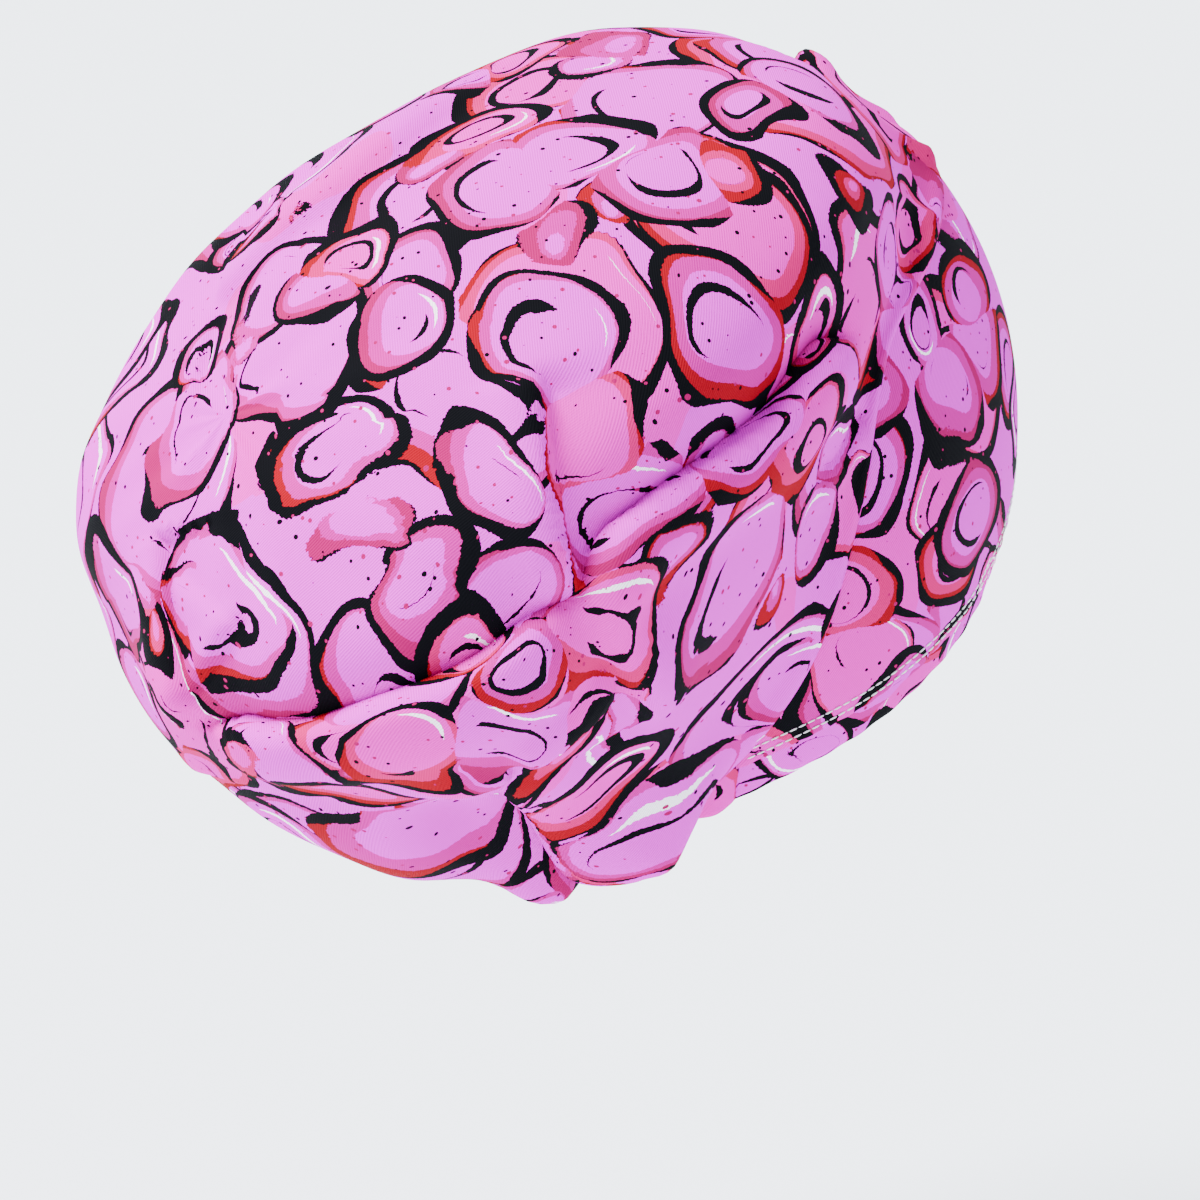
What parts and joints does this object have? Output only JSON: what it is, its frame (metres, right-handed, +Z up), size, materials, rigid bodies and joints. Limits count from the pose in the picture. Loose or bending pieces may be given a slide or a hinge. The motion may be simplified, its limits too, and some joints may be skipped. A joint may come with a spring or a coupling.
{
  "type": "scrub cap",
  "caption": "Puffed cloth scrub cap with a forehead band, a stitched edge strip, a gathered nape casing and a full crown that sits back on the head.",
  "frame": {"origin": "middle of the head opening, on the axis of the worn head, where a head holds the cap", "axes": "+Z up along the standing wearer's head, the forehead faces -Y, the crown hangs back towards +Y, and the wearer's right side is towards -X"},
  "size_m": [0.219, 0.3061, 0.2422],
  "materials": {
    "printed_twill": "matt printed cotton twill",
    "printed_strip": "matt printed cotton twill",
    "gathered_twill": "matt printed cotton twill, gathered"
  },
  "bodies": {
    "root": {"crown": "printed_twill", "front_band": "printed_twill", "brim_strip": "printed_strip", "nape_casing": "gathered_twill"}
  },
  "joints": []
}
